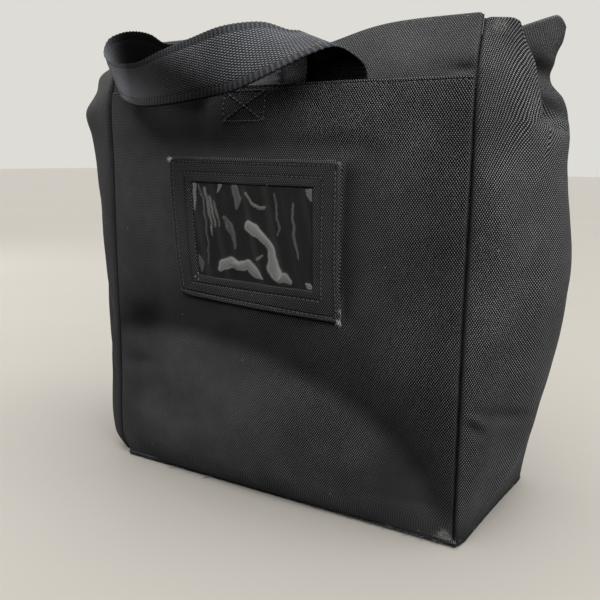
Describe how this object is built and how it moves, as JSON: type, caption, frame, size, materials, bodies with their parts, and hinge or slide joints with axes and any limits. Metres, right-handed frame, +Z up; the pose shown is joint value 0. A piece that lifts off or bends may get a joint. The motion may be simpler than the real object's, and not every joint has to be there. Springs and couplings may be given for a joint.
{
  "type": "insulated lunch bag",
  "caption": "Soft upright box bag of black woven cloth, open at the top, with tucked side gussets, a flopped webbing handle and a clear card holder on the front.",
  "frame": {"origin": "middle of the base, on the surface the bag stands on", "axes": "+Z up, -Y towards the front with the card holder, +X to the right seen from the front"},
  "size_m": [0.3251, 0.1688, 0.2917],
  "materials": {
    "cloth": "woven nylon, dull with a faint sheen",
    "webbing": "ribbed webbing, dull",
    "binding": "narrow cloth edge, frayed",
    "film": "clear soft film, glossy"
  },
  "bodies": {
    "root": {"front_panel": "cloth", "front_collar": "cloth", "gusset_right": "cloth", "gusset_left": "cloth", "back_panel": "cloth", "base_panel": "cloth", "base_binding": "binding", "handle_strap": "webbing", "card_frame": "cloth", "card_window": "film"}
  },
  "joints": []
}
